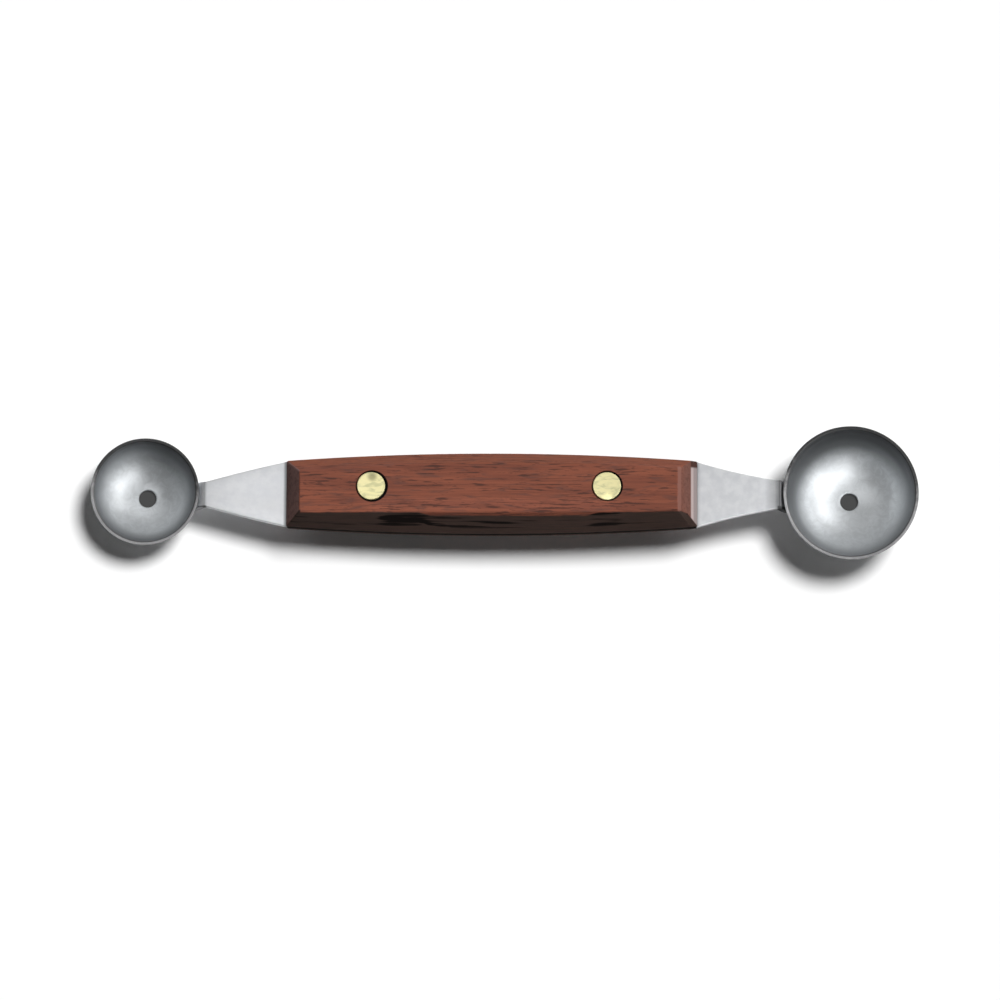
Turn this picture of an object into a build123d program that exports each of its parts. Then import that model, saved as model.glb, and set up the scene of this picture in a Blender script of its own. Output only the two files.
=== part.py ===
from build123d import *
from math import atan2, degrees, hypot, sqrt
import os

# Double-ended melon baller, in millimetres.
# Every piece is drawn level, with the middle of the handle at zero and the strip's mid-plane at height zero.
# The small cup lies towards -X and the large cup towards +X. At the end the tool is laid down on both cups.

# Handle
handle_length = 97.9
handle_middle_width = 19.3
handle_end_width = 15.7
scale_thickness = 7.5
scale_foot = 0.6
scale_wall = 1.1
far_bevel = 3.5
near_bevel = 3.1
small_end_bevel = 3.3
large_end_bevel = 3.3
small_end_lip = 0.15
large_end_lip = 1.4
edge_round = 0.5

# Steel strip
strip_thickness = 1.6
bend_inner_radius = 0.5
seat_length = 5.0
seat_corner = 1.2
weld_gap = 0.05

# Cups
cup_wall = 0.8
drain_diameter = 4.2
small_cup_diameter = 25.9
small_cup_depth = 10.6
small_cup_reach = 33.85
small_cup_offset = 0.6
small_tip_width = 6.1
small_neck_sag = 0.15
large_cup_diameter = 32.3
large_cup_depth = 13.3
large_cup_reach = 36.65
large_cup_offset = 0.45
large_tip_width = 7.0
large_neck_sag = -0.36

# Compression rivets
left_rivet_inset = 20.4
right_rivet_inset = 21.5
rivet_offset = 0.65
rivet_head_diameter = 6.7
rivet_head_height = 1.5
rivet_head_break = 0.15
rivet_tube_diameter = 4.8
rivet_pin_diameter = 3.0
rivet_end_room = 0.8
pin_break = 0.4

# Clearances
head_clearance = 0.3
tube_clearance = 0.1
pin_clearance = 0.03
overrun = 5.0

# Places that follow from the sizes above
strip_top = strip_thickness / 2
handle_top = strip_top + scale_thickness
half_length = handle_length / 2
barrel_rise = (handle_middle_width - handle_end_width) / 2
barrel_radius = (half_length ** 2 + barrel_rise ** 2) / (2 * barrel_rise)
bend_outer_radius = bend_inner_radius + strip_thickness


class CupEnd:
    """One end of the tool: the cup, and the tip of the strip that is bent down against it."""

    def __init__(self, side, diameter, depth, reach, offset, tip_width, neck_sag):
        self.side = side
        self.offset = offset
        self.radius = diameter / 2
        self.depth = depth
        self.x = side * (half_length + reach)
        self.tip_width = tip_width
        self.neck_sag = neck_sag
        self.ball_radius = (self.radius ** 2 + depth ** 2) / (2 * depth)
        self.ball_height = strip_top - depth + self.ball_radius
        # The bend and the cup are two circles that touch from outside, a weld gap apart.
        self.seat_radius = self.ball_radius + weld_gap
        rise = self.ball_height - (strip_top - bend_outer_radius)
        self.run = sqrt((self.seat_radius + bend_outer_radius) ** 2 - rise ** 2)
        self.bend_x = self.x - side * self.run
        self.bend_angle = degrees(atan2(self.run, rise))
        self.seat_angle = degrees(seat_length / self.seat_radius)

    def ring_height(self):
        """Height of the drain hole's outer edge, on which the cup stands."""
        return self.ball_height - sqrt(self.ball_radius ** 2 - (drain_diameter / 2) ** 2)


small_end = CupEnd(
    -1, small_cup_diameter, small_cup_depth, small_cup_reach, small_cup_offset, small_tip_width, small_neck_sag
)
large_end = CupEnd(
    1, large_cup_diameter, large_cup_depth, large_cup_reach, large_cup_offset, large_tip_width, large_neck_sag
)
rivet_places = {
    "left_rivet": (left_rivet_inset - half_length, rivet_offset),
    "right_rivet": (half_length - right_rivet_inset, rivet_offset),
}


def barrel_width(x, inset):
    """Half of the handle's width at x, on the barrel line drawn in by the inset."""
    return handle_middle_width / 2 - barrel_radius + sqrt((barrel_radius - inset) ** 2 - x ** 2)


def handle_side(side, inset, left, right):
    """One long side of the handle's outline: an arc of the barrel line, drawn in by the inset."""
    return ThreePointArc(*[(x, side * barrel_width(x, inset)) for x in (left, 0, right)])


def handle_outline(height, far_inset, near_inset, small_inset, large_inset):
    """The handle's outline at one height: two long arcs joined by straight ends."""
    left = small_inset - half_length
    right = half_length - large_inset
    far = handle_side(1, far_inset, left, right)
    near = handle_side(-1, near_inset, left, right)
    ends = [Line(far @ 0, near @ 0), Line(far @ 1, near @ 1)]
    return Pos(0, 0, height) * make_face([far, near, *ends])


def rivet_holes():
    """Counterbored holes for both rivets through one scale, from its flat seat up to its face."""
    bore = rivet_tube_diameter / 2 + tube_clearance
    head_bore = rivet_head_diameter / 2 + head_clearance
    cuts = []
    for x, y in rivet_places.values():
        cuts.append(Pos(x, y, 0) * extrude(Circle(bore), handle_top + overrun))
        cuts.append(Pos(x, y, handle_top - rivet_head_height) * extrude(Circle(head_bore), overrun))
    return cuts


def make_scale():
    """One wooden scale, lying on the strip, with bevelled sides and ends."""
    levels = [
        (strip_top, 0, 0, 0, 0),
        (strip_top + scale_foot, 0, 0, 0, 0),
        (strip_top + scale_wall, 0, 0, small_end_lip, large_end_lip),
        (handle_top, far_bevel, near_bevel, small_end_lip + small_end_bevel, large_end_lip + large_end_bevel),
    ]
    slab = loft([handle_outline(*level) for level in levels], ruled=True)
    face_edges = slab.faces().sort_by(Axis.Z)[-1].edges()
    slab = fillet(face_edges, edge_round)
    return slab - rivet_holes()


def tongue_edge(end, height, bend_radius, seat_radius):
    """The side view of one tip: round the bend, then along the cup's wall."""
    bend = JernArc((end.bend_x, height), (end.side, 0), bend_radius, -end.side * end.bend_angle)
    seat = JernArc(bend @ 1, bend % 1, seat_radius, end.side * end.seat_angle)
    return [bend, seat]


def strip_side_view():
    """The strip seen from the side: level through the handle and bent down at both tips."""
    top_tongues = [tongue_edge(end, strip_top, bend_outer_radius, end.seat_radius) for end in (small_end, large_end)]
    low_tongues = [
        tongue_edge(end, -strip_top, bend_inner_radius, end.seat_radius + strip_thickness)
        for end in (small_end, large_end)
    ]
    edges = [edge for tongue in top_tongues + low_tongues for edge in tongue]
    for tongues in (top_tongues, low_tongues):
        edges.append(Line(tongues[0][0] @ 0, tongues[1][0] @ 0))
    for top, low in zip(top_tongues, low_tongues):
        edges.append(Line(top[1] @ 1, low[1] @ 1))
    return Plane.XZ * make_face(edges)


def neck_edge(end):
    """The far edge of one neck, from the handle to the bend, with its slight bow."""
    root = Vector(end.side * half_length, handle_end_width / 2)
    tip = Vector(end.bend_x, end.tip_width / 2)
    along = (tip - root).normalized()
    across = Vector(-along.Y, along.X) * -end.side
    return ThreePointArc(root, (root + tip) / 2 - across * end.neck_sag, tip)


def strip_plan():
    """The strip seen from above: barrel shaped in the handle, then the two necks and the straight tips."""
    half = handle_end_width / 2
    barrel = ThreePointArc((-half_length, half), (0, handle_middle_width / 2), (half_length, half))
    far = [barrel]
    ends = []
    for end in (small_end, large_end):
        tip = end.tip_width / 2
        last = end.bend_x + end.side * (end.run + overrun)
        far += [neck_edge(end), Line((end.bend_x, tip), (last, tip))]
        ends.append(Line((last, tip), (last, -tip)))
    return make_face(far + [edge.mirror(Plane.XZ) for edge in far] + ends)


def make_tang_plate():
    """The flat strip that carries the scales and both cups, with its two rivet holes."""
    tall = max(small_end.depth, large_end.depth) + overrun
    plate = extrude(strip_side_view(), handle_middle_width, both=True) & extrude(strip_plan(), tall, both=True)
    for end in (small_end, large_end):
        corners = plate.edges().filter_by(lambda edge, end=end: is_tip_corner(edge, end))
        plate = fillet(corners, seat_corner)
    bore = rivet_tube_diameter / 2 + tube_clearance
    return plate - [Pos(x, y, 0) * extrude(Circle(bore), overrun, both=True) for x, y in rivet_places.values()]


def is_tip_corner(edge, end):
    """True for the two short edges at the very end of a tip, where its sides meet its end face."""
    middle = edge @ 0.5
    on_side = abs(abs(middle.Y) - end.tip_width / 2) < weld_gap
    at_end = end.seat_radius - hypot(middle.X - end.x, middle.Z - end.ball_height) < weld_gap
    short = abs(edge.length - strip_thickness) < weld_gap
    return on_side and at_end and short and middle.Z < -strip_thickness


def make_cup(end):
    """One pressed cup: a shell cut from a ball, level with the top of the strip, with its drain hole.

    It is welded a little to the far side of the strip's middle line.
    """
    ball = Sphere(end.ball_radius) - Sphere(end.ball_radius - cup_wall)
    rim = Pos(0, 0, end.ball_radius + strip_top - end.ball_height)
    size = 2 * (end.ball_radius + overrun)
    above = rim * Box(size, size, 2 * end.ball_radius)
    drain = Pos(0, 0, -end.ball_radius) * Cylinder(drain_diameter / 2, end.ball_radius)
    return Pos(end.x, end.offset, end.ball_height) * (ball - above - drain)


def make_rivet_head():
    """The round flat head that both halves of a rivet share, flush with the face of the scale."""
    head = extrude(Circle(rivet_head_diameter / 2), -rivet_head_height)
    head = chamfer(head.edges().sort_by(Axis.Z)[-1], rivet_head_break)
    return Pos(0, 0, handle_top) * head


def make_rivet_post():
    """The upper half of a rivet: a head with a pin that is pressed into the tube below."""
    pin_length = 2 * handle_top - 2 * rivet_head_height - rivet_end_room
    pin = extrude(Circle(rivet_pin_diameter / 2), -pin_length)
    pin = chamfer(pin.edges().sort_by(Axis.Z)[0], pin_break)
    return make_rivet_head() + Pos(0, 0, handle_top - rivet_head_height) * pin


def make_rivet_socket():
    """The lower half of a rivet: a head with a tube that takes the pin."""
    tube_length = 2 * handle_top - 2 * rivet_head_height - rivet_end_room
    tube = Circle(rivet_tube_diameter / 2) - Circle(rivet_pin_diameter / 2 + pin_clearance)
    head = make_rivet_head().mirror(Plane.XY)
    return head + Pos(0, 0, rivet_head_height - handle_top) * extrude(tube, tube_length)


def make_pieces():
    """Every piece of the tool, level, by its name."""
    scale = make_scale()
    pieces = {
        "tang_plate": make_tang_plate(),
        "upper_scale": scale,
        "lower_scale": scale.mirror(Plane.XY),
        "small_cup": make_cup(small_end),
        "large_cup": make_cup(large_end),
    }
    for name, (x, y) in rivet_places.items():
        pieces[name + "_post"] = Pos(x, y, 0) * make_rivet_post()
        pieces[name + "_socket"] = Pos(x, y, 0) * make_rivet_socket()
    return pieces


def lay_down(pieces):
    """Turns the tool so that both cups stand on the edges of their drain holes, centred over the origin."""
    rise = small_end.ring_height() - large_end.ring_height()
    lean = atan2(rise, large_end.x - small_end.x)
    turn = Rot(0, -degrees(lean), 0)
    laid = {name: turn * piece for name, piece in pieces.items()}
    boxes = [piece.bounding_box() for piece in laid.values()]
    middle_x = (min(box.min.X for box in boxes) + max(box.max.X for box in boxes)) / 2
    middle_y = (min(box.min.Y for box in boxes) + max(box.max.Y for box in boxes)) / 2
    lowest = min(box.min.Z for box in boxes)
    return {name: Pos(-middle_x, -middle_y, -lowest) * piece for name, piece in laid.items()}


os.makedirs("parts", exist_ok=True)
for piece_name, piece in lay_down(make_pieces()).items():
    export_step(piece, "parts/" + piece_name + ".step")
    print(piece_name, piece.bounding_box())
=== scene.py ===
import math

import bmesh
import bpy
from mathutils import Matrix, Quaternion, Vector


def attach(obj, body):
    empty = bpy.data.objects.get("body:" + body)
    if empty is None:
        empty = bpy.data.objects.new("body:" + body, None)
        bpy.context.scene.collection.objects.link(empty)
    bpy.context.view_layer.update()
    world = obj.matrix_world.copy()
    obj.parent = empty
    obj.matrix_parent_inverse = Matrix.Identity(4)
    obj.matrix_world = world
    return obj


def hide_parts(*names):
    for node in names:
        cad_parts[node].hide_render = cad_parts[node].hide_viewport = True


# A double-ended melon baller on a white table, seen almost from above.
# Sizes are in millimetres on the level tool: the middle of its strip lies in the plane z = 0, and the
# handle's middle is at x = 0. layDown() then lays it on both cups, as it stands in the frame.

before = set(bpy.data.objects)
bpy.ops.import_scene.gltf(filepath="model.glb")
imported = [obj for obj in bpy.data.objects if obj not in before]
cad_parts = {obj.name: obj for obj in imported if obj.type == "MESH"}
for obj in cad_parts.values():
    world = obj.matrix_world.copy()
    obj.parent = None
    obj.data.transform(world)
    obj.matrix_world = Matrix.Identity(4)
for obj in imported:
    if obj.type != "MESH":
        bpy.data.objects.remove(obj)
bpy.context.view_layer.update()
print("frame loaded:", len(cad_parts), "nodes")

mm = 0.001
lay = {
    "lean": 0.92993,  # degrees, because the large cup is the deeper one
    "shift": -2.9866,  # mm along x
    "aside": -0.45,  # mm along y
    "rise": 11.0076,  # mm along z
}


def layDown(point):
    x, y, z = point
    lean = math.radians(lay["lean"])
    alongX = x * math.cos(lean) - z * math.sin(lean) + lay["shift"]
    alongZ = x * math.sin(lean) + z * math.cos(lean) + lay["rise"]
    return alongX * mm, (y + lay["aside"]) * mm, alongZ * mm


# Sizes that several pieces share

handle = {
    "length": 97.9,
    "middleWidth": 19.3,
    "endWidth": 15.7,
    "stripThickness": 1.6,
    "scaleThickness": 7.5,
}
halfLength = handle["length"] / 2
stripTop = handle["stripThickness"] / 2
handleTop = stripTop + handle["scaleThickness"]

cups = {
    "smallCup": {
        "node": "small_cup",
        "side": -1,
        "diameter": 25.9,
        "depth": 10.6,
        "reach": 33.85,  # from the handle's end to the cup's middle
        "aside": 0.6,
    },
    "largeCup": {
        "node": "large_cup",
        "side": 1,
        "diameter": 32.3,
        "depth": 13.3,
        "reach": 36.65,
        "aside": 0.45,
    },
}
cupShape = {
    "wall": 0.8,
    "holeDiameter": 4.2,
    "holeRound": 0.22,
    "rimSlope": 12,  # degrees, down towards the middle
    "rimRound": 0.25,
    "outerRound": 0.1,
    "wallSteps": 48,
    "turnSteps": 192,
}


def ballOf(cup):
    # radius and centre height of the ball that the cup is cut from
    radius = ((cup["diameter"] / 2) ** 2 + cup["depth"] ** 2) / (2 * cup["depth"])
    return radius, stripTop - cup["depth"] + radius


def middleOf(cup):
    # the cup's upright middle line, on the level tool
    return cup["side"] * (halfLength + cup["reach"]), cup["aside"]


# Shader helpers


class Wire:
    # one output socket, so that shader maths can be written as sums and products
    def __init__(self, finish, socket):
        self.finish = finish
        self.socket = socket

    def __add__(self, other):
        return self.finish.maths("ADD", self, other)

    def __sub__(self, other):
        return self.finish.maths("SUBTRACT", self, other)

    def __rsub__(self, other):
        return self.finish.maths("SUBTRACT", other, self)

    def __mul__(self, other):
        return self.finish.maths("MULTIPLY", self, other)

    def __truediv__(self, other):
        return self.finish.maths("DIVIDE", self, other)

    def __pow__(self, other):
        return self.finish.maths("POWER", self, other)

    __radd__ = __add__
    __rmul__ = __mul__


class Finish:
    # a material, or the world, and the nodes in it
    def __init__(self, holder):
        holder.use_nodes = True
        self.holder = holder
        self.tree = holder.node_tree
        self.tree.nodes.clear()

    def node(self, kind, settings=None, inputs=None, output=0):
        made = self.tree.nodes.new("ShaderNode" + kind)
        for name, value in (settings or {}).items():
            if name == "stops":
                self.fillRamp(made.color_ramp, value)
            else:
                setattr(made, name, value)
        for name, value in (inputs or {}).items():
            socket = made.inputs[name] if isinstance(name, int) else self.shown(made.inputs, name)
            if isinstance(value, Wire):
                self.tree.links.new(value.socket, socket)
            else:
                socket.default_value = value
        if not made.outputs:
            return None
        found = made.outputs[output] if isinstance(output, int) else self.shown(made.outputs, output)
        return Wire(self, found)

    def shown(self, sockets, name):
        return next(socket for socket in sockets if socket.name == name and socket.enabled)

    def fillRamp(self, ramp, stops):
        while len(ramp.elements) < len(stops):
            ramp.elements.new(1)
        for element, (place, colour) in zip(ramp.elements, stops):
            element.position = place
            element.color = (*colour, 1)

    def maths(self, operation, *values):
        return self.node("Math", {"operation": operation}, dict(enumerate(values)))

    def mixed(self, share, first, second, blend="MIX"):
        colours = [value if isinstance(value, Wire) else (*value, 1) for value in (first, second)]
        settings = {"data_type": "RGBA", "blend_type": blend}
        return self.node("Mix", settings, {"Factor": share, "A": colours[0], "B": colours[1]}, "Result")

    def step(self, value, low, high):
        settings = {"interpolation_type": "SMOOTHSTEP"}
        return self.node("MapRange", settings, {"Value": value, "From Min": low, "From Max": high})

    def band(self, value, low, high, soft):
        return self.step(value, low - soft, low + soft) * (1 - self.step(value, high - soft, high + soft))

    def measured(self, operation, *vectors):
        # a number taken from one or two vectors, such as LENGTH or DISTANCE
        return self.node("VectorMath", {"operation": operation}, dict(enumerate(vectors)), "Value")

    def position(self):
        # the place on the object in millimetres
        metres = self.node("TexCoord", output="Object")
        return self.node("VectorMath", {"operation": "SCALE"}, {0: metres, "Scale": 1 / mm})

    def split(self, vector):
        return [self.node("SeparateXYZ", {}, {0: vector}, axis) for axis in "XYZ"]

    def levelPlace(self):
        # the place on the level tool, from the handle's middle: along, across and up from the strip
        x, y, z = self.split(self.position())
        along = x - lay["shift"]
        up = z - lay["rise"] - along * math.tan(math.radians(lay["lean"]))
        return along, y - lay["aside"], up

    def vector(self, x, y, z):
        return self.node("CombineXYZ", {}, {"X": x, "Y": y, "Z": z})

    def noise(self, vector, scale, detail=2.0, roughness=0.5, distortion=0.0):
        inputs = {
            "Vector": vector,
            "Scale": scale,
            "Detail": detail,
            "Roughness": roughness,
            "Distortion": distortion,
        }
        return self.node("TexNoise", {}, inputs)

    def bump(self, height, strength, depth):
        # depth in millimetres
        return self.node("Bump", {}, {"Strength": strength, "Distance": depth * mm, "Height": height})

    def surface(self, shader):
        self.node("OutputMaterial", {}, {"Surface": shader})
        return self.holder


def newFinish(name):
    return Finish(bpy.data.materials.new(name))


# Finishes

cupFinish = {
    "bottomTone": (0.568, 0.590, 0.606),  # inside, at the bottom
    "shadedWallTone": (0.293, 0.305, 0.319),  # up the inner wall; its step down from the bottom's tone is painted shade
    "wallSpan": (0.42, 0.82),  # shares of the depth between which the one turns into the other
    # painted light and shade, brighter or darker towards one side of a cup: side of the tool, azimuth in
    # degrees, tightness, share of the tone, and the heights between which it begins and, in some, ends
    "lightAndShadePatches": [
        (-1, 65, 7.0, 0.46, (0.26, 0.50)),
        (-1, 255, 4.0, 0.64, (0.30, 0.60)),
        (-1, 225, 2.0, 1.30, (0.25, 0.10)),
        (-1, 195, 1.5, 1.15, (0.30, 0.45), (0.70, 0.84)),
        (-1, 268, 10.0, 0.84, (0.62, 0.75)),
        (1, 110, 1.0, 0.27, (0.30, 0.585)),
        (1, 48, 8.0, 0.68, (0.58, 0.75)),
        (1, 190, 6.0, 0.85, (0.58, 0.72)),
        (1, 260, 3.0, 0.90, (0.30, 0.55)),
        (1, 355, 3.0, 0.72, (0.20, 0.10)),
        (1, 45, 6.0, 1.25, (0.18, 0.26)),
        (1, 8, 10.0, 1.55, (0.24, 0.42)),
        (1, 75, 5.0, 1.22, (0.24, 0.16)),
        (1, 195, 5.0, 1.32, (0.25, 0.36), (0.52, 0.62)),
    ],
    "lipShade": 0.30,  # how much darker the last of the wall below the rim is
    "lipSpan": (0.82, 0.93),
    # the rim's dark tone is painted shade
    "paintedRimTone": (0.045, 0.045, 0.046),
    "rimSpan": (0.965, 0.98),
    "litRimTone": (0.11, 0.11, 0.112),  # on the side that the fruit wears bright
    "rimHighlightSide": (-0.14, -0.99, 0.0),
    "rimHighlightSpan": (0.30, 0.65),  # how far round towards that side the painted highlight begins and is full
    "rimHighlightLineTone": (0.34, 0.34, 0.345),  # a painted highlight on one side of the rim
    "rimHighlightLine": (0.06, 0.62),  # mm from the outer edge, where the line begins and ends
    "outsideTone": (0.45, 0.46, 0.47),
    "metallic": 0.68,  # the rest is the chalky scatter of the tumbled skin
    "roughness": 0.43,
    "cloudScale": 0.45,  # clouds per mm
    "cloudSpan": (0.35, 0.68),
    "cloudDepth": 0.14,  # how much darker a cloud is
    "cloudRoughness": 0.10,
    "grainScale": 7.0,
    "grainRoughness": 0.08,
    "grainDepth": 0.01,  # mm
}
black = (0.0, 0.0, 0.0)


def makeCupSteel(values):
    finish = newFinish("cupSteel")
    at = finish.position()
    along, across, up = finish.levelPlace()
    small, large = cups["smallCup"], cups["largeCup"]
    onLarge = finish.step(along, -1.0, 1.0)

    def ofCup(first, second):
        # a number of the small cup on the small cup, and of the large one on the large
        return onLarge * (second - first) + first

    depth = ofCup(small["depth"], large["depth"])
    height = 1 - (stripTop - up) / depth  # 0 at the bottom, 1 at the rim
    middleX = ofCup(middleOf(small)[0], middleOf(large)[0])
    middleY = ofCup(middleOf(small)[1], middleOf(large)[1])
    outwards = finish.vector(along - middleX, across - middleY, 0.0)
    away = finish.measured("LENGTH", outwards)
    outwards = finish.node("VectorMath", {"operation": "NORMALIZE"}, {0: outwards})

    def facing(aim):
        # from 0 on the side that faces away from the aim to 1 on the side towards it
        return finish.measured("DOT_PRODUCT", outwards, aim) * 0.5 + 0.5

    inside = 0
    for cup in cups.values():
        ballRadius, ballHeight = ballOf(cup)
        gap = finish.measured("DISTANCE", finish.vector(along, across, up), (*middleOf(cup), ballHeight))
        middle = ballRadius - cupShape["wall"] / 2
        inside = (1 - finish.step(gap, middle - 0.1, middle + 0.1)) + inside
    clouds = finish.noise(at, values["cloudScale"], 4, 0.6, 1.6)
    blotches = finish.step(clouds, *values["cloudSpan"])
    grain = finish.noise(at, values["grainScale"], 3, 0.6)
    # painted shade: the wall darkens from the bottom's tone up towards the rim
    wall = finish.step(height + (clouds - 0.5) * 0.12, *values["wallSpan"])
    colour = finish.mixed(wall, values["bottomTone"], values["shadedWallTone"])
    # painted light and shade towards one side of each cup
    for side, azimuth, tightness, share, *spans in values["lightAndShadePatches"]:
        aim = (math.cos(math.radians(azimuth)), math.sin(math.radians(azimuth)), 0.0)
        mask = facing(aim) ** tightness * finish.step(height, *spans[0])
        mask = mask * (onLarge if side > 0 else 1 - onLarge)
        if len(spans) > 1:
            mask = mask * (1 - finish.step(height, *spans[1]))
        colour = finish.mixed(mask, colour, (share,) * 3, "MULTIPLY")
    colour = finish.mixed(finish.step(height, *values["lipSpan"]) * values["lipShade"], colour, black)
    colour = finish.mixed(inside, values["outsideTone"], colour)
    # the rim, in painted shade, with a painted highlight towards one side
    fromEdge = ofCup(small["diameter"] / 2, large["diameter"] / 2) - away
    rimLit = finish.step(facing(values["rimHighlightSide"]) + (clouds - 0.5) * 0.4, *values["rimHighlightSpan"])
    highlightLine = rimLit * finish.band(fromEdge, *values["rimHighlightLine"], 0.08)
    paintedRimTone = finish.mixed(rimLit, values["paintedRimTone"], values["litRimTone"])
    paintedRimTone = finish.mixed(highlightLine, paintedRimTone, values["rimHighlightLineTone"])
    colour = finish.mixed(finish.step(height, *values["rimSpan"]), colour, paintedRimTone)
    colour = finish.mixed((1 - blotches) * values["cloudDepth"], colour, black)
    roughness = values["roughness"] + (blotches - 0.5) * values["cloudRoughness"]
    roughness = roughness + (grain - 0.5) * values["grainRoughness"]
    bump = finish.bump(grain, 0.5, values["grainDepth"])
    shader = finish.node(
        "BsdfPrincipled",
        {},
        {
            "Base Color": colour,
            "Metallic": values["metallic"],
            "Roughness": roughness,
            "Normal": bump,
        },
    )
    return finish.surface(shader)


stripFinish = {
    "tone": (0.970, 0.982, 1.0),
    "dullTone": (0.856, 0.870, 0.900),
    # how bright it is along the tool, as (mm, share): painted light and shade, darkest in the bends of the
    # tips
    "paintedShading": [
        # the small tip, painted dark in its bend and light beyond it
        (-69.3, 1.0), (-68.96, 0.54), (-68.7, 0.38), (-68.4, 0.24), (-68.2, 0.53),
        # the small neck
        (-67, 0.57), (-62, 0.645), (-54, 0.715), (-49.6, 0.77),
        # inside the handle, darkest where the wood ends
        (-49.4, 0.28), (-49.0, 0.28), (-48.8, 0.10), (-48.3, 0.45), (48.3, 0.45), (48.9, 0.20),
        # the large neck
        (49.3, 0.675), (65.0, 0.72), (67.8, 0.42),
        # the large tip, with painted shade darkest in its bend
        (68.0, 0.24), (68.15, 0.15), (68.35, 0.11), (68.6, 0.035), (68.8, 0.055), (69.1, 0.16),
        (69.35, 0.5),
    ],
    "brightnessReach": 75.0,  # mm from the middle to both ends of that scale
    # the near side of the bent tips lies in their own shade: mm along and across, tone and share
    "tipShade": {"along": (67.9, 68.3), "across": (-2.6, -2.9), "tone": (0.02, 0.02, 0.02), "share": 0.8},
    "nearEdgeShadeTone": (0.015, 0.014, 0.013),  # painted shade on its near edge between the scales
    "nearEdgeShadeAcross": (-3.0, 0.0),  # mm, from full painted shade to none
    "roughness": 0.50,
    "cloudScale": 0.4,
    "cloudRoughness": 0.12,
    "lineScale": 5.0,  # grinding lines per mm across the strip
    "lineStretch": 0.08,
    "lineRoughness": 0.10,
    "lineDepth": 0.006,  # mm
}


def makeStripSteel(values):
    finish = newFinish("stripSteel")
    at = finish.position()
    x, y, z = finish.split(at)
    lines = finish.noise(finish.vector(x * values["lineStretch"], y, z), values["lineScale"], 3, 0.6)
    clouds = finish.noise(at, values["cloudScale"], 3, 0.6)
    colour = finish.mixed(finish.step(clouds, 0.3, 0.7), values["dullTone"], values["tone"])
    along, across = finish.levelPlace()[:2]
    # painted light and shade along the tool
    reach = values["brightnessReach"]
    stops = [((place + reach) / (2 * reach), (share,) * 3) for place, share in values["paintedShading"]]
    paintedShading = finish.node("ValToRGB", {"stops": stops}, {"Fac": (along + reach) / (2 * reach)})
    colour = finish.mixed(1.0, colour, paintedShading, "MULTIPLY")
    fromMiddle = finish.maths("ABSOLUTE", along)
    shade = values["tipShade"]
    shaded = finish.step(fromMiddle, *shade["along"]) * finish.step(across, *shade["across"])
    colour = finish.mixed(shaded * shade["share"], colour, shade["tone"])
    # between the scales its near edge is painted dark as shade, and is not metal there
    held = 1 - finish.step(fromMiddle, halfLength - 0.3, halfLength + 0.1)
    nearEdgeShade = held * (1 - finish.step(across, *values["nearEdgeShadeAcross"]))
    colour = finish.mixed(nearEdgeShade, colour, values["nearEdgeShadeTone"])
    roughness = values["roughness"] + (clouds - 0.5) * values["cloudRoughness"]
    roughness = roughness + (lines - 0.5) * values["lineRoughness"]
    bump = finish.bump(lines, 0.5, values["lineDepth"])
    shader = finish.node(
        "BsdfPrincipled",
        {},
        {
            "Base Color": colour,
            "Metallic": 1 - nearEdgeShade,
            "Roughness": roughness,
            "Specular IOR Level": 0.0,
            "Normal": bump,
        },
    )
    return finish.surface(shader)


woodFinish = {
    # layers of noise: turns per mm along the grain and across it, a shift that sets a layer apart, then the
    # noise's detail, roughness and distortion
    "layers": {
        "figure": (0.030, 0.45, 0, 3, 0.6, 0.0),
        "fibre": (0.07, 3.4, 0, 3, 0.7, 0.0),
        "mottle": (0.16, 1.1, 3, 3, 0.6, 0.6),
        "flecks": (0.20, 2.2, 0, 2, 0.5, 0.0),
        "ticks": (0.55, 3.6, 11, 2, 0.5, 0.0),
        "clusters": (0.06, 0.35, 7, 1, 0.5, 0.0),
        "ink": (0.05, 0.9, 0, 2, 0.5, 0.0),
    },
    "drift": 3.0,  # mm that the grain wanders across the handle
    "tone": (0.200, 0.069, 0.046),
    "redTone": (0.258, 0.087, 0.054),
    "nearShare": 1.18,  # how much lighter the near third of the face is, in the middle of its length
    "farTone": (0.225, 0.076, 0.046),  # lighter wood along the far side
    "grayTone": (0.120, 0.060, 0.050),
    "grayShare": 0.65,
    "streakTone": (0.070, 0.036, 0.030),
    "fibreShare": 0.45,
    "poreShare": 0.8,
    "heartTone": (0.060, 0.042, 0.036),  # dark heartwood along the near side
    "heartRed": (0.078, 0.048, 0.040),
    "heartEdge": 5.7,  # mm from the middle line, at the face
    "heartDip": (-16.0, 24.0, 1.10),  # where the red wood runs over the near edge, and how far
    "cornerShare": 0.62,  # how much of its tone it keeps on the near corner of the large end
    # black heartwood, and the painted shade in the gaps round the rivet heads
    "inkAndShadeTone": (0.006, 0.005, 0.005),
    "inkZones": [(-26.0, -16.0, 2.5), (23.5, 31.0, 2.0)],  # the blackest heartwood, as (from, to, softness)
    "inkStreak": (-26.0, -1.0, 10.0, 0.083),  # a line of it: from, to, depth in the middle, slope
    # the end grain, greyed by painted sheen
    "endGrainAndSheenTone": {-1: (0.205, 0.130, 0.120), 1: (0.185, 0.090, 0.072)},
    "edgeHighlightTone": (0.25, 0.115, 0.090),  # a painted highlight on the upper edge of the large end
    # the lip under the large end, pale with a painted highlight, and the painted shade at its tip
    "paintedLipTone": (0.45, 0.37, 0.36),
    "lipEdgeShadeTone": (0.1, 0.1, 0.1),
    "seamTone": (0.012, 0.009, 0.008),
    "roughness": 0.55,
    "poreDepth": 0.03,  # mm
    "specular": 0.005,
    # painted shade in the gap round each rivet head: along and across in mm, then radius
    "gapShade": [(-28.45, 0.56, 3.80), (27.45, 0.65, 3.66)],
}


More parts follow.
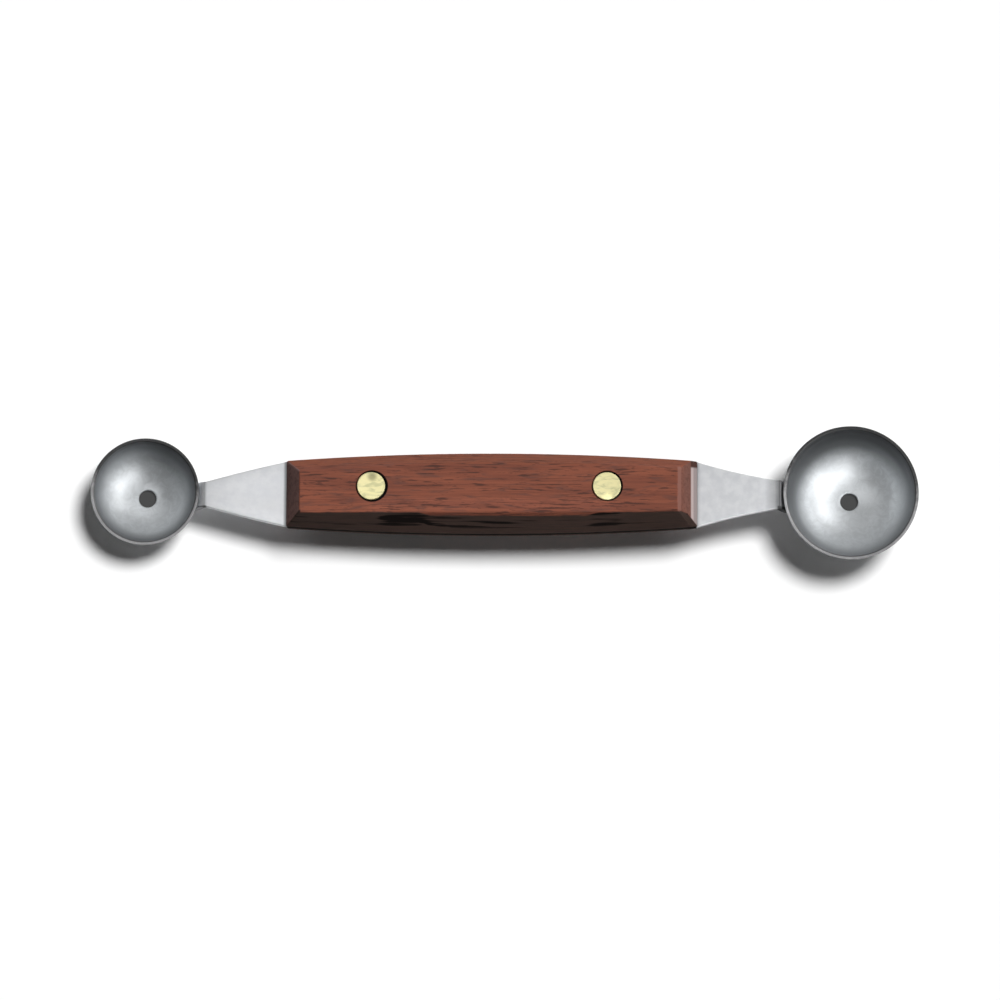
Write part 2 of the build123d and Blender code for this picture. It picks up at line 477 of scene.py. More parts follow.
def makeRosewood(values):
    finish = newFinish("rosewood")
    along, across, up = finish.levelPlace()
    up = finish.maths("ABSOLUTE", up)
    drift = finish.noise(finish.vector(along * 0.02, across * 0.08, up * 0.08), 1.0, 1)
    grain = across + (drift - 0.5) * values["drift"]

    def layer(name):
        alongScale, acrossScale, shift, detail, roughness, distortion = values["layers"][name]
        spot = finish.vector(along * alongScale, grain * acrossScale, up * acrossScale + shift)
        return finish.noise(spot, 1.0, detail, roughness, distortion)

    # red wood with gray mottling, dark fibres and open pores
    fibre = layer("fibre")
    mottle = layer("mottle")
    clusters = layer("clusters")
    pores = finish.step(layer("flecks") + (clusters - 0.5) * 0.35, 0.58, 0.68)
    ticks = finish.step(layer("ticks") + (clusters - 0.5) * 0.3, 0.64, 0.72)
    pores = finish.maths("MAXIMUM", pores, ticks * 0.8)
    colour = finish.mixed(finish.step(layer("figure"), 0.38, 0.62), values["tone"], values["redTone"])
    near = finish.band(0 - across, 2.3, 5.0, 0.6) * finish.band(along, -30.0, 29.0, 3.0)
    colour = finish.mixed(near, colour, (values["nearShare"],) * 3, "MULTIPLY")
    far = finish.step(grain * 0.4 + across * 0.6, 5.4, 6.6)
    colour = finish.mixed(far, colour, values["farTone"])
    gray = finish.step(mottle, 0.50, 0.70) * values["grayShare"]
    colour = finish.mixed(gray, colour, values["grayTone"])
    darkFibre = finish.step(fibre, 0.46, 0.74) * values["fibreShare"]
    colour = finish.mixed(darkFibre, colour, values["streakTone"])
    colour = finish.mixed(pores * values["poreShare"], colour, values["streakTone"])
    # onEnd is 1 on the end bevels and on the lips under them
    onRight = finish.step(along, -1.0, 1.0)
    lipLength = onRight * (scale["endLip"][1] - scale["endLip"][-1]) + scale["endLip"][-1]
    endSlope = scale["endBevel"][1] / (handle["scaleThickness"] - scale["wall"])
    climb = (up - stripTop - scale["wall"]) * endSlope
    fromMiddle = finish.maths("ABSOLUTE", along)
    onEnd = finish.step(fromMiddle + climb + lipLength, halfLength - 0.22, halfLength - 0.04)
    # dark heartwood: its edge follows the near edge of the face and dips below it in the middle
    drop = handleTop - up
    dipFrom, dipTo, dipDepth = values["heartDip"]
    dip = finish.band(along, dipFrom, dipTo, 2.0) * dipDepth
    depth = drop * 0.5 - across - dip + (mottle - 0.5) * 0.8 + (fibre - 0.5) * 0.5
    heart = finish.step(depth, values["heartEdge"] - 0.15, values["heartEdge"] + 0.3)
    # it keeps to the corner of the small end, and runs over the near corner of the large one
    alongLip = finish.maths("MAXIMUM", along - (halfLength - scale["endLip"][1]), 0.0)
    largeEdge = finish.maths("MAXIMUM", drop - 4.5, 0.0) * 0.45 + alongLip * 1.1
    endEdge = drop * 0.41 * (1 - onRight) + largeEdge * onRight
    heart = heart * (1 - onEnd) + finish.step(0 - across - endEdge, 4.9, 5.3) * onEnd
    dark = finish.mixed(finish.step(fibre, 0.35, 0.7), values["heartTone"], values["heartRed"])
    ink = layer("ink")
    for inkFrom, inkTo, soft in values["inkZones"]:
        ink = finish.band(along, inkFrom, inkTo, soft) * 0.16 + ink
    streakFrom, streakTo, streakDepth, slope = values["inkStreak"]
    streak = finish.band(depth - along * slope, streakDepth - 0.5, streakDepth + 0.5, 0.2)
    ink = streak * finish.band(along, streakFrom, streakTo, 1.5) * 0.25 + ink
    inkMask = finish.step(ink, 0.58, 0.70) * finish.step(up, 3.0, 4.0)
    dark = finish.mixed(inkMask * 0.92, dark, values["inkAndShadeTone"])
    dark = finish.mixed(onEnd * onRight, dark, (values["cornerShare"],) * 3, "MULTIPLY")
    colour = finish.mixed(heart, colour, dark)
    # the end grain's tone, greyed by painted sheen
    endGrainAndSheenTone = finish.mixed(onRight, values["endGrainAndSheenTone"][-1], values["endGrainAndSheenTone"][1])
    endGrainAndSheenTone = finish.mixed(finish.step(mottle, 0.45, 0.65) * 0.35, endGrainAndSheenTone, values["streakTone"])
    colour = finish.mixed(onEnd * finish.step(drop, 0.05, 0.6) * (1 - heart) * 0.85, colour, endGrainAndSheenTone)
    # a painted highlight on the large end's upper edge; its lip is pale with a painted highlight but for
    # its tip, painted dark as shade, and its far corner
    edgeHighlight = finish.band(along + (mottle - 0.5) * 0.4, halfLength - 4.85, halfLength - 3.95, 0.12)
    edgeHighlight = edgeHighlight * finish.step(up, handleTop - 2.0, handleTop - 1.4) * (1 - heart)
    colour = finish.mixed(edgeHighlight * 0.9, colour, values["edgeHighlightTone"])
    lip = finish.step(along, halfLength - 1.75, halfLength - 1.35) * (1 - finish.step(up, 2.1, 2.3))
    lipEdgeShade = finish.step(along, halfLength - 1.05, halfLength - 0.8) * 0.45
    paintedLipTone = finish.mixed(lipEdgeShade, values["paintedLipTone"], values["lipEdgeShadeTone"])
    paintedLipTone = finish.mixed(finish.step(across, 6.0, 6.6), paintedLipTone, values["streakTone"])
    colour = finish.mixed(lip * (1 - heart), colour, paintedLipTone)
    # darker in the seam against the strip, and painted shade in the gap round the rivet heads
    seam = 1 - finish.step(up, stripTop + 0.05, stripTop + 0.3)
    colour = finish.mixed(seam * 0.8 * (1 - lip), colour, values["seamTone"])
    for gapShadeX, gapShadeY, radius in values["gapShade"]:
        away = ((along - gapShadeX) ** 2 + (across - gapShadeY) ** 2) ** 0.5
        gap = 1 - finish.step(away, radius - 0.05, radius + 0.08)
        colour = finish.mixed(gap, colour, values["inkAndShadeTone"])
    roughness = values["roughness"] + pores * 0.2 + (fibre - 0.5) * 0.15
    bump = finish.bump(fibre * 0.4 - pores, 0.7, values["poreDepth"])
    shader = finish.node(
        "BsdfPrincipled",
        {},
        {
            "Base Color": colour,
            "Roughness": roughness,
            "Specular IOR Level": values["specular"],
            "Normal": bump,
        },
    )
    return finish.surface(shader)


brassFinish = {
    "tone": (0.77, 0.71, 0.39),
    "dullTone": (0.56, 0.54, 0.30),
    # a darker place on the left head and a painted highlight on the lower edge of the right head: along and
    # across in mm, radius, share of the tone
    "marksAndHighlight": [(-28.4, 2.9, 1.6, 0.50), (27.4, -2.3, 1.8, 1.40)],
    "metallic": 0.5,
    "specular": 0.1,
    "roughness": 0.45,
    "smudgeRoughness": 0.15,
    "scratchRoughness": 0.15,
    "scratchDepth": 0.01,  # mm
}


def makeRivetBrass(values):
    finish = newFinish("rivetBrass")
    x, y, z = finish.split(finish.position())
    smudges = finish.noise(finish.vector(x * 0.5, y * 1.3, z), 0.7, 3, 0.6, 0.8)
    scratches = finish.noise(finish.vector(x * 0.6 + y * 0.6, x * 6 - y * 6, z), 1.0, 2, 0.6)
    colour = finish.mixed(finish.step(smudges, 0.42, 0.68), values["tone"], values["dullTone"])
    along, across = finish.levelPlace()[:2]
    # a darker place on one head and a painted highlight on the other
    for markX, markY, radius, share in values["marksAndHighlight"]:
        away = ((along - markX) ** 2 + (across - markY) ** 2) ** 0.5
        mark = 1 - finish.step(away + (smudges - 0.5) * 0.8, radius * 0.2, radius)
        colour = finish.mixed(mark, colour, (share,) * 3, "MULTIPLY")
    roughness = values["roughness"] + (smudges - 0.5) * values["smudgeRoughness"]
    roughness = roughness + (scratches - 0.5) * values["scratchRoughness"]
    bump = finish.bump(scratches, 0.5, values["scratchDepth"])
    shader = finish.node(
        "BsdfPrincipled",
        {},
        {
            "Base Color": colour,
            "Metallic": values["metallic"],
            "Roughness": roughness,
            "Specular IOR Level": values["specular"],
            "Normal": bump,
        },
    )
    return finish.surface(shader)


cupSteel = makeCupSteel(cupFinish)
stripSteel = makeStripSteel(stripFinish)
rivetBrass = makeRivetBrass(brassFinish)
print("finishes made")

# Mesh helpers


weldDistance = 0.0005


def makePiece(name, points, faces, material, creaseAngle):
    mesh = bpy.data.meshes.new(name)
    mesh.from_pydata([layDown(point) for point in points], [], faces)
    shape = bmesh.new()
    shape.from_mesh(mesh)
    bmesh.ops.remove_doubles(shape, verts=shape.verts, dist=weldDistance * mm)
    bmesh.ops.recalc_face_normals(shape, faces=shape.faces)
    shape.to_mesh(mesh)
    shape.free()
    mesh.shade_smooth()
    mesh.set_sharp_from_angle(angle=math.radians(creaseAngle))
    mesh.materials.append(material)
    piece = bpy.data.objects.new(name, mesh)
    bpy.context.scene.collection.objects.link(piece)
    return piece


def handOver(piece, node):
    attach(piece, "root")
    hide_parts(node)


def quadFaces(rows, count, closed=False):
    # quads between neighbouring rows of points, each row closed on itself
    faces = []
    for row in range(rows if closed else rows - 1):
        low = row * count
        high = (row + 1) % rows * count
        for index in range(count):
            after = (index + 1) % count
            faces.append((low + index, low + after, high + after, high + index))
    return faces


def skinned(loops):
    # a closed skin over a row of loops, with a face on the first and on the last
    points = [point for loop in loops for point in loop]
    count = len(loops[0])
    faces = quadFaces(len(loops), count)
    faces.append(tuple(range(count)))
    faces.append(tuple(range(len(points) - count, len(points))))
    return points, faces


def lathe(profile, centre, steps):
    # turns a closed profile of (radius, height) about the upright line through centre
    points = []
    for step in range(steps):
        turn = 2 * math.pi * step / steps
        for radius, height in profile:
            x = centre[0] + radius * math.cos(turn)
            y = centre[1] + radius * math.sin(turn)
            points.append((x, y, centre[2] + height))
    return points, quadFaces(steps, len(profile), closed=True)


def turned(start, corner, stop, steps):
    # a corner rounded off between two points
    points = []
    for step in range(steps + 1):
        t = step / steps
        spans = zip(start, corner, stop)
        points.append(tuple(a * (1 - t) ** 2 + 2 * b * t * (1 - t) + c * t * t for a, b, c in spans))
    return points


# The two cups


def cupProfile(cup):
    ballRadius, ballHeight = ballOf(cup)
    wall = cupShape["wall"]
    holeRadius = cupShape["holeDiameter"] / 2
    holeRound = cupShape["holeRound"]
    soft = cupShape["rimRound"]
    inner = ballRadius - wall
    rim = stripTop - ballHeight
    drop = wall * math.tan(math.radians(cupShape["rimSlope"]))
    innerEdge = (math.sqrt(inner**2 - (rim - drop) ** 2), rim - drop)
    outerEdge = (math.sqrt(ballRadius**2 - rim**2), rim)
    profile = []
    # inner wall, from the drain hole up to the rim
    start = math.asin((holeRadius + holeRound) / inner)
    stop = math.pi / 2 + math.asin((innerEdge[1] - soft) / inner)
    steps = cupShape["wallSteps"]
    for share in range(steps + 1):
        angle = start + (stop - start) * share / steps
        profile.append((inner * math.sin(angle), -inner * math.cos(angle)))
    # rim, sloping inwards, with both edges broken
    along = math.radians(cupShape["rimSlope"])
    after = (innerEdge[0] + soft * math.cos(along), innerEdge[1] + soft * math.sin(along))
    profile += turned(profile[-1], innerEdge, after, 6)[1:]
    soft = cupShape["outerRound"]
    before = (outerEdge[0] - soft * math.cos(along), outerEdge[1] - soft * math.sin(along))
    low = outerEdge[1] - soft
    profile += turned(before, outerEdge, (math.sqrt(ballRadius**2 - low**2), low), 6)
    # outer wall, back down to the drain hole
    stop = math.pi / 2 + math.asin(low / ballRadius)
    start = math.asin((holeRadius + holeRound * 0.4) / ballRadius)
    for share in range(1, steps + 1):
        angle = stop + (start - stop) * share / steps
        profile.append((ballRadius * math.sin(angle), -ballRadius * math.cos(angle)))
    # wall of the hole, with its two edges rounded
    low = -math.sqrt(ballRadius**2 - holeRadius**2)
    high = -math.sqrt(inner**2 - holeRadius**2)
    profile.append((holeRadius + holeRound * 0.12, low + holeRound * 0.08))
    profile.append((holeRadius, low + holeRound * 0.4))
    profile.append((holeRadius, high - holeRound))
    profile.append((holeRadius + holeRound * 0.12, high - holeRound * 0.45))
    profile.append((holeRadius + holeRound * 0.45, high - holeRound * 0.08))
    return profile


def makeCup(name, cup):
    ballHeight = ballOf(cup)[1]
    centre = (*middleOf(cup), ballHeight)
    points, faces = lathe(cupProfile(cup), centre, cupShape["turnSteps"])
    piece = makePiece(name, points, faces, cupSteel, 50)
    handOver(piece, cup["node"])


for cupName, cupValues in cups.items():
    makeCup(cupName, cupValues)
print("cups made")

# The strip

strip = {
    "tipWidth": {-1: 6.1, 1: 7.0},
    "neckBow": {-1: 0.15, 1: -0.36},  # how far the sides of the necks bulge outwards
    "bendRadius": 2.1,  # of the top surface
    "seatLength": 5.0,
    "seatGap": 0.05,
    "tipCorner": 1.2,
    "tipRound": 0.25,
    "edgeRound": 0.28,
    "handleEdgeRound": 0.08,
}
barrelRise = (handle["middleWidth"] - handle["endWidth"]) / 2
barrelRadius = (halfLength**2 + barrelRise**2) / (2 * barrelRise)


def barrelHalf(x):
    return handle["middleWidth"] / 2 - barrelRadius + math.sqrt(barrelRadius**2 - x**2)


def tongueStations(cup):
    # top line of one tip from the bend outwards: (x, z, normal x, normal z, half width)
    side = cup["side"]
    ballRadius, ballHeight = ballOf(cup)
    cupX = halfLength + cup["reach"]
    seatRadius = ballRadius + strip["seatGap"]
    rise = ballHeight - (stripTop - strip["bendRadius"])
    run = math.sqrt((seatRadius + strip["bendRadius"]) ** 2 - rise**2)
    bendX = cupX - run
    bendAngle = math.atan2(run, rise)
    half = strip["tipWidth"][side] / 2
    stations = []
    for share in range(13):
        angle = bendAngle * share / 12
        x = bendX + strip["bendRadius"] * math.sin(angle)
        z = stripTop - strip["bendRadius"] * (1 - math.cos(angle))
        stations.append((side * x, z, side * math.sin(angle), math.cos(angle), half))
    corner = strip["tipCorner"]
    shares = [share / 10 for share in range(1, 9)] + [0.84, 0.88, 0.92, 0.95, 0.975, 0.99, 1.0]
    for share in shares:
        along = strip["seatLength"] * share
        angle = bendAngle - along / seatRadius
        left = strip["seatLength"] - along
        cut = corner - math.sqrt(max(corner**2 - max(corner - left, 0) ** 2, 0))
        x = cupX - seatRadius * math.sin(angle)
        z = ballHeight - seatRadius * math.cos(angle)
        stations.append((side * x, z, side * math.sin(angle), math.cos(angle), half - cut))
    return bendX, stations


def stripStations():
    smallBend, smallTongue = tongueStations(cups["smallCup"])
    largeBend, largeTongue = tongueStations(cups["largeCup"])
    stations = list(reversed(smallTongue))
    for side, bend in ((-1, smallBend), (1, largeBend)):
        neck = []
        for share in range(1, 16):
            t = share / 16
            x = bend + (halfLength - bend) * t
            tip = strip["tipWidth"][side] / 2
            half = tip + (handle["endWidth"] / 2 - tip) * t + strip["neckBow"][side] * 4 * t * (1 - t)
            neck.append((side * x, stripTop, 0, 1, half))
        if side < 0:
            stations += neck
            for share in range(41):
                x = -halfLength + handle["length"] * share / 40
                stations.append((x, stripTop, 0, 1, barrelHalf(x)))
        else:
            stations += list(reversed(neck)) + largeTongue
    return stations


def stripLoop(station, shrink):
    # one cross-section with rounded edges, as points round the strip
    x, z, normalX, normalZ, half = station
    inHandle = abs(x) <= halfLength + 0.01
    rounding = strip["handleEdgeRound"] if inHandle else strip["edgeRound"]
    thick = handle["stripThickness"] - 2 * shrink
    half = half - shrink
    rounding = min(rounding, half * 0.5, thick * 0.45)
    shape = [(-half * 0.5, 0), (0, 0), (half * 0.5, 0)]
    for cornerY, cornerDown, startAngle in ((1, 0, 90), (1, 1, 0), (-1, 1, -90), (-1, 0, 180)):
        for quarter in range(5):
            angle = math.radians(startAngle - 90 * quarter / 4)
            centreY = cornerY * (half - rounding)
            centreDown = thick - rounding if cornerDown else rounding
            shape.append((centreY + rounding * math.cos(angle), centreDown - rounding * math.sin(angle)))
        if (cornerY, cornerDown) == (1, 1):
            shape += [(half * 0.5, thick), (0, thick), (-half * 0.5, thick)]
    loop = []
    for across, down in shape:
        loop.append((x - normalX * (down + shrink), across, z - normalZ * (down + shrink)))
    return loop


def makeStrip():
    stations = stripStations()
    loops = [stripLoop(stations[0], strip["tipRound"])]
    loops += [stripLoop(station, 0) for station in stations]
    loops.append(stripLoop(stations[-1], strip["tipRound"]))
    points, faces = skinned(loops)
    piece = makePiece("steelStrip", points, faces, stripSteel, 40)
    handOver(piece, "tang_plate")


makeStrip()
print("strip made")

# The wooden scales

scale = {
    "foot": 0.6,  # height of the upright side above the strip
    "wall": 1.1,  # and of the lips, where the bevels begin
    "farBevel": 3.5,
    "nearBevel": 3.1,
    "endBevel": {-1: 3.3, 1: 3.3},
    "endLip": {-1: 0.15, 1: 1.4},
    "edgeRound": 0.5,
    "cornerRound": 0.35,
    "seamBreak": 0.06,
    "creaseAngle": 28,  # degrees
    # how far the hand-ground bevels wander from their width, as (x, mm)
    "farWander": [(-49, 0.42), (-41, 0.40), (-17, 0.0), (1, -0.10), (35, -0.25), (43, -0.10), (49, 0.0)],
    "nearWander": [
        (-49, -0.68), (-43, -0.66), (-38, -0.28), (-29, 0.17), (-19, 0.63), (-6, 0.81),
        (3, 0.80), (14, 0.65), (24, 0.52), (30.6, 0.35), (36, 0.05), (49, 0.0),
    ],
}
rivets = {
    "left_rivet": (20.4 - halfLength, 0.65),
    "right_rivet": (halfLength - 21.5, 0.65),
}
rivetShape = {
    "headDiameter": 6.7,
    "headHeight": 1.5,
    "headSink": 0.01,  # below the wood's face
    "crown": 0.07,
    "edgeRound": 0.22,
    "tubeDiameter": 4.8,
    "pinDiameter": 3.0,
    "pinTip": 0.4,
    "endRoom": 0.8,
    "turnSteps": 96,
}
rivetFit = {"headGap": 0.3, "tubeGap": 0.1, "pinGap": 0.03}

rosewood = makeRosewood(woodFinish)  # here, because it takes the places of the ends from the scale's sizes


def wander(stations, x):
    for (startX, startValue), (stopX, stopValue) in zip(stations, stations[1:]):
        if x <= stopX:
            t = min(max((x - startX) / (stopX - startX), 0), 1)
            return startValue + (stopValue - startValue) * t * t * (3 - 2 * t)
    return stations[-1][1]


def scaleOutline(level):
    # the outline at one height, drawn in by its insets, with its corners rounded
    height, far, near, small, large = level
    left = small - halfLength
    right = halfLength - large
    soft = scale["cornerRound"]
    outline = []
    across = [left + soft + (right - left - 2 * soft) * share / 72 for share in range(73)]

    def farY(x):
        return barrelHalf(x) - far - wander(scale["farWander"], x) * far / scale["farBevel"]

    def nearY(x):
        return near + wander(scale["nearWander"], x) * near / scale["nearBevel"] - barrelHalf(x)

    def bend(start, corner, stop):
        outline.extend(turned(start, corner, stop, 4)[1:-1])

    def end(x, start, stop):
        for share in range(17):
            outline.append((x, start + (stop - start) * share / 16))

    farLine = [(x, farY(x)) for x in across]
    nearLine = [(x, nearY(x)) for x in reversed(across)]
    outline += farLine
    bend(farLine[-1], (right, farY(right)), (right, farY(right) - soft))
    end(right, farY(right) - soft, nearY(right) + soft)
    bend(outline[-1], (right, nearY(right)), nearLine[0])
    outline += nearLine
    bend(nearLine[-1], (left, nearY(left)), (left, nearY(left) + soft))
    end(left, nearY(left) + soft, farY(left) - soft)
    bend(outline[-1], (left, farY(left)), farLine[0])
    return [(x, y, height) for x, y in outline]


def scaleLevels():
    # (height, far inset, near inset, small end inset, large end inset) from the strip up to the face
    foot = stripTop + scale["foot"]
    wall = stripTop + scale["wall"]
    lips = (0, 0, scale["endLip"][-1], scale["endLip"][1])
    bevels = (scale["farBevel"], scale["nearBevel"], scale["endBevel"][-1], scale["endBevel"][1])
    seam = scale["seamBreak"]
    levels = [(stripTop, seam, seam, seam, seam), (stripTop + seam, 0, 0, 0, 0), (foot, 0, 0, 0, 0)]
    for share in (0.25, 0.5, 0.75, 1):
        levels.append((foot + (wall - foot) * share, *[lip * share for lip in lips]))
    slope = handleTop - wall
    turn = math.atan2(slope, scale["farBevel"])
    cut = scale["edgeRound"] * math.tan(turn / 2)
    start = 1 - cut * math.sin(turn) / slope
    for share in (0.1, 0.3, 0.5, 0.7, 0.9):
        t = start * share
        levels.append((wall + slope * t, *[lip + bevel * t for lip, bevel in zip(lips, bevels)]))
    for share in range(7):
        t = share / 6
        height = (wall + slope * start) * (1 - t) ** 2 + handleTop * (1 - (1 - t) ** 2)
        insets = []
        for lip, bevel in zip(lips, bevels):
            low = lip + bevel * start
            high = lip + bevel + cut
            insets.append(low * (1 - t) ** 2 + (lip + bevel) * 2 * t * (1 - t) + high * t * t)
        levels.append((height, *insets))
    levels.append((handleTop, *[lip + bevel + cut + 0.2 for lip, bevel in zip(lips, bevels)]))
    return levels


def drill(piece, cutters):
    for cutter in cutters:
        tool = piece.modifiers.new("drill", "BOOLEAN")
        tool.object = cutter
        tool.operation = "DIFFERENCE"
        tool.solver = "EXACT"
    graph = bpy.context.evaluated_depsgraph_get()
    drilled = bpy.data.meshes.new_from_object(piece.evaluated_get(graph))
    piece.modifiers.clear()
    piece.data = drilled
    for cutter in cutters:
        bpy.data.objects.remove(cutter)


def makeScale(name, node, side):
    loops = [[(x, y, side * z) for x, y, z in scaleOutline(level)] for level in scaleLevels()]
    points, faces = skinned(loops)
    piece = makePiece(name, points, faces, rosewood, scale["creaseAngle"])
    cutters = []
    bore = rivetShape["tubeDiameter"] / 2 + rivetFit["tubeGap"]
    headBore = rivetShape["headDiameter"] / 2 + rivetFit["headGap"]
    ledge = handleTop - rivetShape["headHeight"]
    above = handleTop + 1
    for x, y in rivets.values():
        profile = [(0, -1), (bore, -1), (bore, ledge), (headBore, ledge), (headBore, above), (0, above)]
        profile = [(radius, side * height) for radius, height in profile]
        points, faces = lathe(profile, (x, y, 0), rivetShape["turnSteps"])
        cutters.append(makePiece("drillBit", points, faces, rosewood, scale["creaseAngle"]))
    drill(piece, cutters)
    piece.data.set_sharp_from_angle(angle=math.radians(scale["creaseAngle"]))
    handOver(piece, node)


makeScale("upperScale", "upper_scale", 1)
makeScale("lowerScale", "lower_scale", -1)
print("scales made")

# The rivets


def headProfile():
    # top of a rivet head from its middle to its lower edge
    radius = rivetShape["headDiameter"] / 2
    soft = rivetShape["edgeRound"]
    top = handleTop - rivetShape["headSink"]
    profile = []
    for share in range(9):
        away = (radius - soft) * share / 8
        profile.append((away, top - rivetShape["crown"] * (away / radius) ** 2))
    base = profile[-1][1]
    for share in range(1, 6):
        angle = math.pi / 2 * share / 5
        profile.append((radius - soft + soft * math.sin(angle), base - soft * (1 - math.cos(angle))))
    profile.append((radius, handleTop - rivetShape["headHeight"]))
    return profile


def makeRivetPart(name, node, profile, place):
    points, faces = lathe(profile, (*place, 0), rivetShape["turnSteps"])
    piece = makePiece(name, points, faces, rivetBrass, 40)
    handOver(piece, node)


def makeRivet(name, place):
    under = handleTop - rivetShape["headHeight"]
    end = under - (2 * under - rivetShape["endRoom"])
    pin = rivetShape["pinDiameter"] / 2
    tip = rivetShape["pinTip"]
    inner = pin + rivetFit["pinGap"]
    outer = rivetShape["tubeDiameter"] / 2
    post = headProfile() + [(pin, under), (pin, end + tip), (pin - tip, end), (0, end)]
    socket = headProfile() + [(outer, under), (outer, end), (inner, end), (inner, under), (0, under)]
    makeRivetPart(name + "Post", name + "_post", post, place)
    socket = [(radius, -height) for radius, height in socket]
    makeRivetPart(name + "Socket", name + "_socket", socket, place)


for rivetName, rivetPlace in rivets.items():
    makeRivet(rivetName, rivetPlace)
print("rivets made")

# Table, lights and camera

studio = {
    "floorSize": 8.0,  # metres
    "floorTone": 0.96,
    "floorLift": 0.033,
    "sunAim": (0.39, 0.31, 1.0),
    "sunAngle": 21.0,  # degrees, for the softness of the shadow
    "sunStrength": 3.60,
    "ambient": 0.005,
    "holeShade": 0.035,  # the table seen through the drain holes
    "holeShadeRadius": 2.7,
    "holeShadeSoft": 0.3,
}
white = (1.0, 1.0, 1.0, 1.0)


def seenDirectly(finish):
    # 1 for rays that come from the camera, or by way of metal or glass
    kinds = ("Camera", "Glossy", "Transmission")
    rays = [finish.node("LightPath", output="Is " + kind + " Ray") for kind in kinds]
    return finish.maths("MAXIMUM", finish.maths("MAXIMUM", rays[0], rays[1]), rays[2])


def makeFloor():
    finish = newFinish("tableTop")
    x, y = finish.split(finish.position())[:2]
    tone = studio["floorTone"]
    radius, soft = studio["holeShadeRadius"], studio["holeShadeSoft"]
    shade = 0
    for cup in cups.values():
        middle = layDown((*middleOf(cup), 0))
        away = ((x - middle[0] / mm) ** 2 + (y - middle[1] / mm) ** 2) ** 0.5
        shade = (1 - finish.step(away, radius - soft, radius + soft)) + shade
    colour = finish.mixed(shade, (tone,) * 3, (studio["holeShade"],) * 3)
    lift = seenDirectly(finish) * studio["floorLift"]
    paper = finish.node("BsdfDiffuse", {}, {"Color": colour})
    glow = finish.node("Emission", {}, {"Color": white, "Strength": lift})
    material = finish.surface(finish.node("AddShader", {}, {0: paper, 1: glow}))
    half = studio["floorSize"] / 2
    mesh = bpy.data.meshes.new("tableTop")
    corners = [(-half, -half, 0), (half, -half, 0), (half, half, 0), (-half, half, 0)]
    mesh.from_pydata(corners, [], [(0, 1, 2, 3)])
    mesh.materials.append(material)
    floor = bpy.data.objects.new("tableTop", mesh)
    bpy.context.scene.collection.objects.link(floor)


def makeWorld():
    world = bpy.data.worlds.new("studioAir")
    finish = Finish(world)
    seen = seenDirectly(finish)
    level = seen + (1 - seen) * studio["ambient"]
    air = finish.node("Background", {}, {"Color": white, "Strength": level})
    finish.node("OutputWorld", {}, {"Surface": air})
    bpy.context.scene.world = world


# The white tent that the metal reflects: softboxes brighten it and a flag darkens it, each towards its own
# side. Azimuths and elevations are in degrees.
tent = {
    "radius": 0.5,  # metres
    "rows": 13,
    "columns": 48,
    "level": 0.68,
    "lights": {
        "keyBox": {"azimuth": -16, "elevation": 34, "tightness": 25.0, "level": 7.5},
        "sideBox": {"azimuth": 30, "elevation": 27, "tightness": 25.0, "level": 5.8},
        "topBox": {"azimuth": 175, "elevation": 74, "tightness": 24.3, "level": 4.9},
        "frontBox": {"azimuth": 296, "elevation": 44, "tightness": 15.5, "level": 5.1},
        "frontFlag": {"azimuth": 260, "elevation": 43, "tightness": 1.1, "level": -2.0},
    },
}


def aimOf(light):
    azimuth = math.radians(light["azimuth"])
    elevation = math.radians(light["elevation"])
    flat = math.cos(elevation)
    return flat * math.cos(azimuth), flat * math.sin(azimuth), math.sin(elevation)


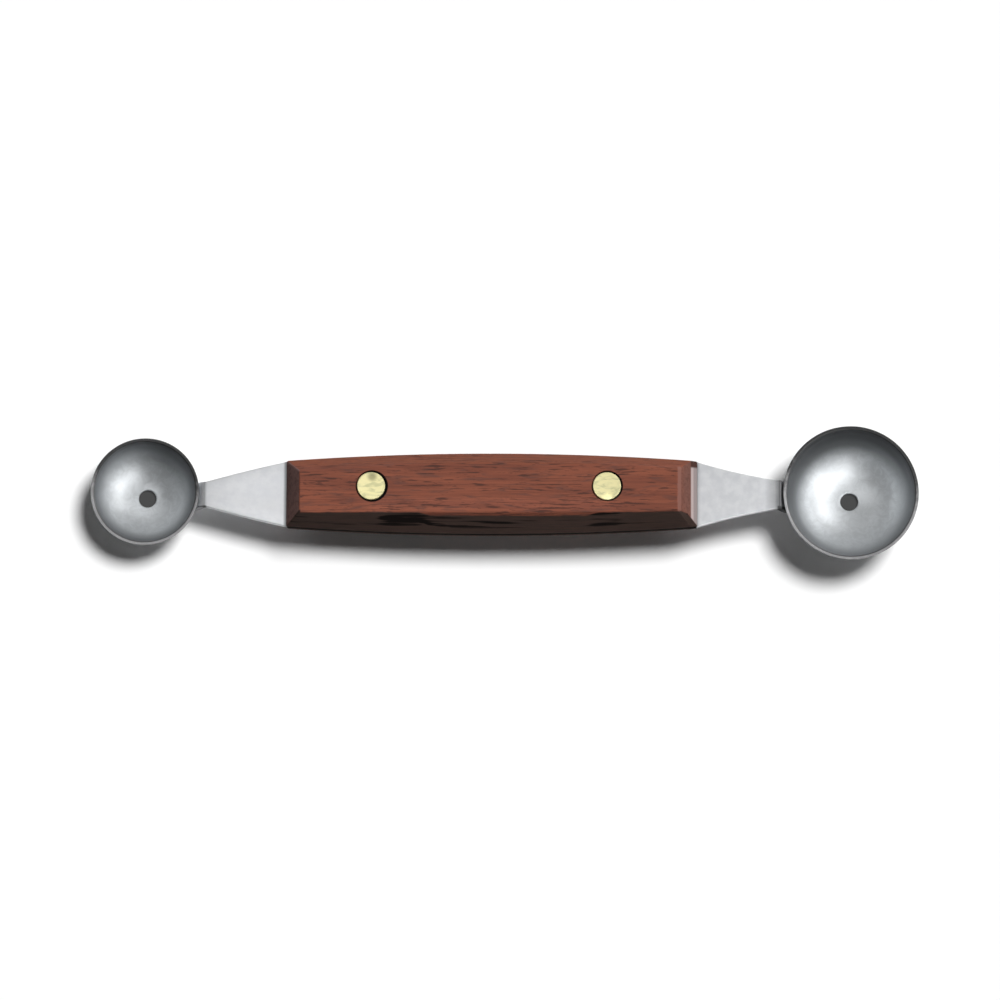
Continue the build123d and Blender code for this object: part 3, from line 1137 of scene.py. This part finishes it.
def makeTent():
    finish = newFinish("tentCloth")
    middle = finish.node("TexCoord", output="Object")
    outwards = finish.node("VectorMath", {"operation": "NORMALIZE"}, {0: middle})
    level = tent["level"]
    for light in tent["lights"].values():
        toward = finish.maths("MAXIMUM", finish.measured("DOT_PRODUCT", outwards, aimOf(light)), 0.0)
        level = toward ** light["tightness"] * light["level"] + level
    strength = finish.maths("MAXIMUM", level, 0.0)
    cloth = finish.surface(finish.node("Emission", {}, {"Color": white, "Strength": strength}))
    rows, columns = tent["rows"], tent["columns"]
    points = []
    for row in range(rows):
        climb = math.pi / 2 * row / (rows - 0.5)
        for column in range(columns):
            turn = 2 * math.pi * column / columns
            flat = tent["radius"] * math.cos(climb)
            points.append((flat * math.cos(turn), flat * math.sin(turn), tent["radius"] * math.sin(climb)))
    faces = quadFaces(rows, columns)
    faces.append(tuple(range((rows - 1) * columns, rows * columns)))
    mesh = bpy.data.meshes.new("lightTent")
    mesh.from_pydata(points, [], faces)
    mesh.materials.append(cloth)
    cover = bpy.data.objects.new("lightTent", mesh)
    bpy.context.scene.collection.objects.link(cover)
    cover.visible_camera = False
    cover.visible_diffuse = False
    cover.visible_shadow = False
    cover.visible_transmission = False
    cover.visible_volume_scatter = False


def makeLights():
    sun = bpy.data.lights.new("keyLight", "SUN")
    sun.energy = studio["sunStrength"]
    sun.angle = math.radians(studio["sunAngle"])
    key = bpy.data.objects.new("keyLight", sun)
    key.visible_glossy = False
    key.rotation_mode = "QUATERNION"
    key.rotation_quaternion = Vector(studio["sunAim"]).to_track_quat("Z", "Y")
    bpy.context.scene.collection.objects.link(key)


cameraView = {
    "elevation": 79.5,  # degrees above the table
    "distance": 1.54,  # metres
    "lens": 232.59,
    "roll": 0.212,
    "target": (-0.001025, -0.00184, 0.0118),
}


def makeCamera():
    data = bpy.data.cameras.new("photoCamera")
    data.lens = cameraView["lens"]
    data.sensor_width = 36
    data.clip_start, data.clip_end = 0.05, 50
    camera = bpy.data.objects.new("photoCamera", data)
    elevation = math.radians(cameraView["elevation"])
    back = Vector((0, -math.cos(elevation), math.sin(elevation)))
    camera.location = Vector(cameraView["target"]) + back * cameraView["distance"]
    camera.rotation_mode = "QUATERNION"
    roll = Quaternion(back, math.radians(cameraView["roll"]))
    camera.rotation_quaternion = roll @ back.to_track_quat("Z", "Y")
    bpy.context.scene.collection.objects.link(camera)
    bpy.context.scene.camera = camera


makeFloor()
makeWorld()
makeTent()
makeLights()
makeCamera()
bpy.context.scene.view_settings.view_transform = "Standard"
print("table, lights and camera made")
